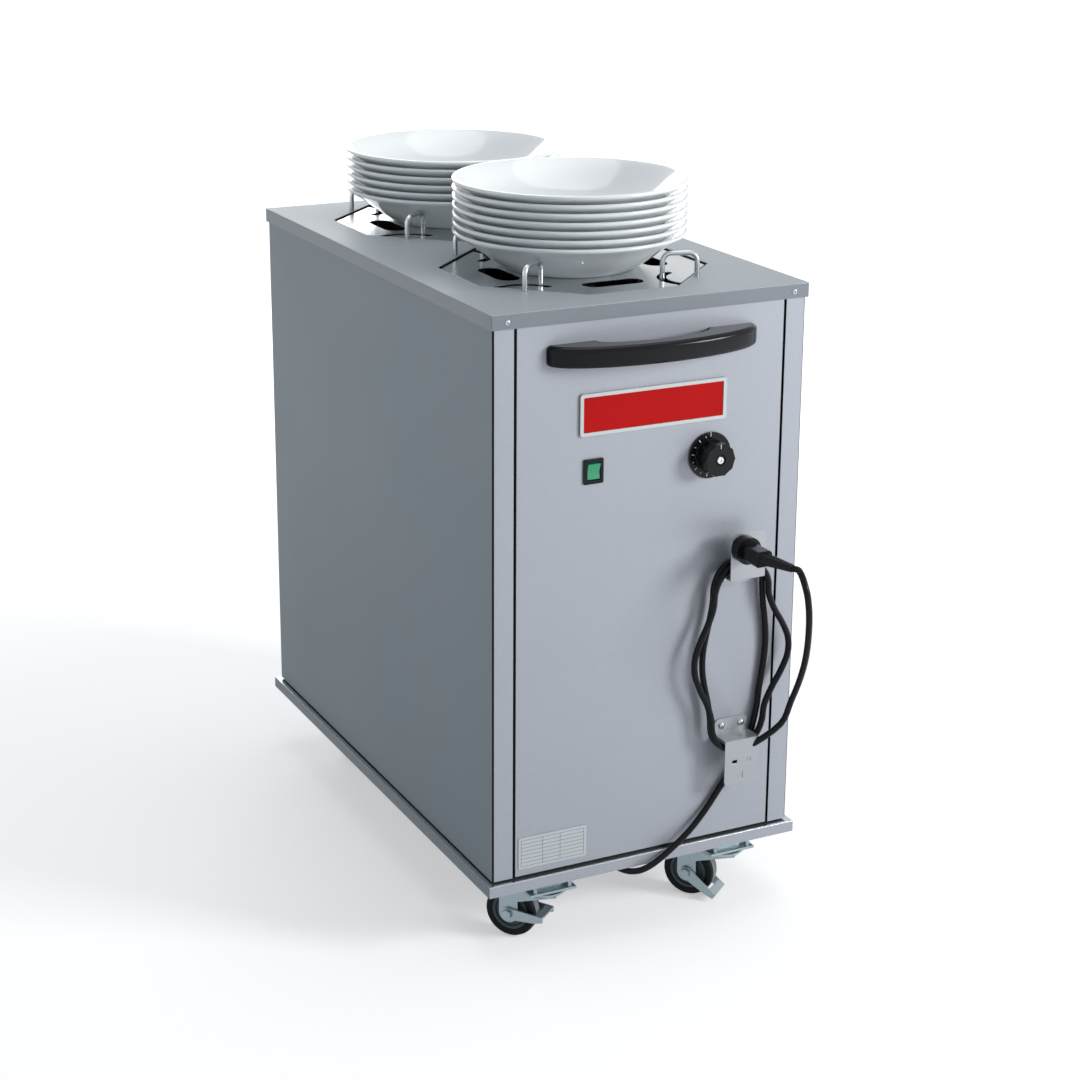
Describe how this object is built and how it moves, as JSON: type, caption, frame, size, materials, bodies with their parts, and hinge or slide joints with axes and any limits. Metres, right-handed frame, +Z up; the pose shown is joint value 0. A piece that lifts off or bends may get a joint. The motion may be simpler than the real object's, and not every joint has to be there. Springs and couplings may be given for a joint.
{
  "type": "plate dispenser cart",
  "caption": "Mobile heated plate dispenser with spring-lifted plate platforms, swinging rod guides, push handle, cord hooks and swivel casters.",
  "frame": {"origin": "floor point under the middle of the cart, cord left out", "axes": "+Z up, +Y towards the rear, +X to the right of someone who pushes at the handle"},
  "size_m": [0.48, 0.9732, 1.0221],
  "materials": {
    "brushed": "brushed stainless steel",
    "panel": "brushed stainless steel",
    "polished": "bright stainless steel",
    "zinc": "zinc plated steel",
    "spring_steel": "spring steel",
    "black_plastic": "glossy black plastic",
    "black_rubber": "matt black rubber",
    "grey_plastic": "grey plastic",
    "red": "glossy red in a bright frame",
    "green": "translucent green plastic",
    "label": "satin label",
    "china": "glazed white",
    "heater": "oxidised sheathed element"
  },
  "bodies": {
    "cabinet": {"base_tray": "brushed", "left_side_panel": "panel", "right_side_panel": "panel", "rear_panel": "panel", "front_panel": "panel", "top_cover": "polished", "push_handle": "black_plastic", "badge_plate": "red", "rating_plate": "label", "switch_bezel": "black_plastic", "thermostat_body": "zinc", "upper_cord_hook": "polished", "lower_cord_hook": "polished", "cord_gland": "black_plastic", "plug": "black_plastic", "cord_lead": "black_rubber", "cord_wound": "black_rubber", "cord_tail": "black_rubber", "front_lift_frame": "zinc", "front_heating_element": "heater", "front_left_lift_spring": "spring_steel", "front_right_lift_spring": "spring_steel", "rear_lift_frame": "zinc", "rear_heating_element": "heater", "rear_left_lift_spring": "spring_steel", "rear_right_lift_spring": "spring_steel", "front_left_caster_plate": "zinc", "front_right_caster_plate": "zinc", "rear_left_caster_plate": "zinc", "rear_right_caster_plate": "zinc"},
    "front_lift": {"front_lift_platform": "polished", "front_lift_carriage": "zinc"},
    "front_plates": {"front_plate_stack": "china"},
    "front_front_left_guide_rod": {"front_well_front_left_guide": "polished"},
    "front_front_right_guide_rod": {"front_well_front_right_guide": "polished"},
    "front_rear_right_guide_rod": {"front_well_rear_right_guide": "polished"},
    "front_rear_left_guide_rod": {"front_well_rear_left_guide": "polished"},
    "rear_lift": {"rear_lift_platform": "polished", "rear_lift_carriage": "zinc"},
    "rear_plates": {"rear_plate_stack": "china"},
    "rear_front_left_guide_rod": {"rear_well_front_left_guide": "polished"},
    "rear_front_right_guide_rod": {"rear_well_front_right_guide": "polished"},
    "rear_rear_right_guide_rod": {"rear_well_rear_right_guide": "polished"},
    "rear_rear_left_guide_rod": {"rear_well_rear_left_guide": "polished"},
    "front_left_swivel": {"front_left_caster_fork": "zinc"},
    "front_left_wheel": {"front_left_wheel_core": "grey_plastic", "front_left_tyre": "black_rubber"},
    "front_left_brake": {"front_left_brake_stirrup": "zinc"},
    "front_right_swivel": {"front_right_caster_fork": "zinc"},
    "front_right_wheel": {"front_right_wheel_core": "grey_plastic", "front_right_tyre": "black_rubber"},
    "front_right_brake": {"front_right_brake_stirrup": "zinc"},
    "rear_left_swivel": {"rear_left_caster_fork": "zinc"},
    "rear_left_wheel": {"rear_left_wheel_core": "grey_plastic", "rear_left_tyre": "black_rubber"},
    "rear_right_swivel": {"rear_right_caster_fork": "zinc"},
    "rear_right_wheel": {"rear_right_wheel_core": "grey_plastic", "rear_right_tyre": "black_rubber"},
    "rocker": {"switch_rocker": "green"},
    "knob": {"thermostat_knob": "black_plastic"}
  },
  "joints": [
    {"name": "front_lift_slide", "type": "slide", "parent": "cabinet", "child": "front_lift", "axis": [0, 0, 1], "range_m": [-0.44, 0], "stiffness_N_per_m": 200, "springref_m": 0.5, "deforming": ["front_left_lift_spring", "front_right_lift_spring"]},
    {"name": "front_plates_lift_off", "type": "slide", "parent": "cabinet", "child": "front_plates", "axis": [0, 0, 1], "range_m": [0, 0.25]},
    {"name": "front_front_left_guide_swing", "type": "hinge", "parent": "cabinet", "child": "front_front_left_guide_rod", "pos_m": [-0.13311, -0.27603, 0.88], "axis": [0, 0, 1], "range_deg": [-8, 82]},
    {"name": "front_front_right_guide_swing", "type": "hinge", "parent": "cabinet", "child": "front_front_right_guide_rod", "pos_m": [0.11818, -0.29096, 0.88], "axis": [0, 0, 1], "range_deg": [-44, 46]},
    {"name": "front_rear_right_guide_swing", "type": "hinge", "parent": "cabinet", "child": "front_rear_right_guide_rod", "pos_m": [0.13311, -0.03967, 0.88], "axis": [0, 0, 1], "range_deg": [-15, 18]},
    {"name": "front_rear_left_guide_swing", "type": "hinge", "parent": "cabinet", "child": "front_rear_left_guide_rod", "pos_m": [-0.11818, -0.02474, 0.88], "axis": [0, 0, 1], "range_deg": [-7, 18]},
    {"name": "rear_lift_slide", "type": "slide", "parent": "cabinet", "child": "rear_lift", "axis": [0, 0, 1], "range_m": [-0.44, 0], "stiffness_N_per_m": 200, "springref_m": 0.5, "deforming": ["rear_left_lift_spring", "rear_right_lift_spring"]},
    {"name": "rear_plates_lift_off", "type": "slide", "parent": "cabinet", "child": "rear_plates", "axis": [0, 0, 1], "range_m": [0, 0.25]},
    {"name": "rear_front_left_guide_swing", "type": "hinge", "parent": "cabinet", "child": "rear_front_left_guide_rod", "pos_m": [-0.13311, 0.11097, 0.88], "axis": [0, 0, 1], "range_deg": [-8, 82]},
    {"name": "rear_front_right_guide_swing", "type": "hinge", "parent": "cabinet", "child": "rear_front_right_guide_rod", "pos_m": [0.11818, 0.09604, 0.88], "axis": [0, 0, 1], "range_deg": [-44, 46]},
    {"name": "rear_rear_right_guide_swing", "type": "hinge", "parent": "cabinet", "child": "rear_rear_right_guide_rod", "pos_m": [0.13311, 0.34733, 0.88], "axis": [0, 0, 1], "range_deg": [-15, 18]},
    {"name": "rear_rear_left_guide_swing", "type": "hinge", "parent": "cabinet", "child": "rear_rear_left_guide_rod", "pos_m": [-0.11818, 0.36226, 0.88], "axis": [0, 0, 1], "range_deg": [-7, 18]},
    {"name": "front_left_swivel_turn", "type": "hinge", "parent": "cabinet", "child": "front_left_swivel", "pos_m": [-0.142, -0.35885, 0.0806], "axis": [0, 0, 1], "continuous": true},
    {"name": "front_left_wheel_spin", "type": "hinge", "parent": "front_left_swivel", "child": "front_left_wheel", "pos_m": [-0.17032, -0.32388, 0.0375], "axis": [-0.7771, -0.6293, 0], "continuous": true},
    {"name": "front_left_brake_pedal", "type": "hinge", "parent": "front_left_swivel", "child": "front_left_brake", "pos_m": [-0.17032, -0.32388, 0.0375], "axis": [-0.7771, -0.6293, 0], "range_deg": [-38, 16]},
    {"name": "front_right_swivel_turn", "type": "hinge", "parent": "cabinet", "child": "front_right_swivel", "pos_m": [0.142, -0.35885, 0.0806], "axis": [0, 0, 1], "continuous": true},
    {"name": "front_right_wheel_spin", "type": "hinge", "parent": "front_right_swivel", "child": "front_right_wheel", "pos_m": [0.11368, -0.32388, 0.0375], "axis": [-0.7771, -0.6293, 0], "continuous": true},
    {"name": "front_right_brake_pedal", "type": "hinge", "parent": "front_right_swivel", "child": "front_right_brake", "pos_m": [0.11368, -0.32388, 0.0375], "axis": [-0.7771, -0.6293, 0], "range_deg": [-3, 51]},
    {"name": "rear_left_swivel_turn", "type": "hinge", "parent": "cabinet", "child": "rear_left_swivel", "pos_m": [-0.142, 0.37315, 0.0806], "axis": [0, 0, 1], "continuous": true},
    {"name": "rear_left_wheel_spin", "type": "hinge", "parent": "rear_left_swivel", "child": "rear_left_wheel", "pos_m": [-0.14514, 0.32826, 0.0375], "axis": [0.9976, -0.0698, 0], "continuous": true},
    {"name": "rear_right_swivel_turn", "type": "hinge", "parent": "cabinet", "child": "rear_right_swivel", "pos_m": [0.142, 0.37315, 0.0806], "axis": [0, 0, 1], "continuous": true},
    {"name": "rear_right_wheel_spin", "type": "hinge", "parent": "rear_right_swivel", "child": "rear_right_wheel", "pos_m": [0.10155, 0.35342, 0.0375], "axis": [0.4384, -0.8988, 0], "continuous": true},
    {"name": "switch_rocker_tilt", "type": "hinge", "parent": "cabinet", "child": "rocker", "pos_m": [-0.087, -0.38315, 0.678], "axis": [1, 0, 0], "range_deg": [-12, 0]},
    {"name": "thermostat_turn", "type": "hinge", "parent": "cabinet", "child": "knob", "pos_m": [0.088, -0.38885, 0.678], "axis": [0, -1, 0], "range_deg": [0, 270]}
  ]
}
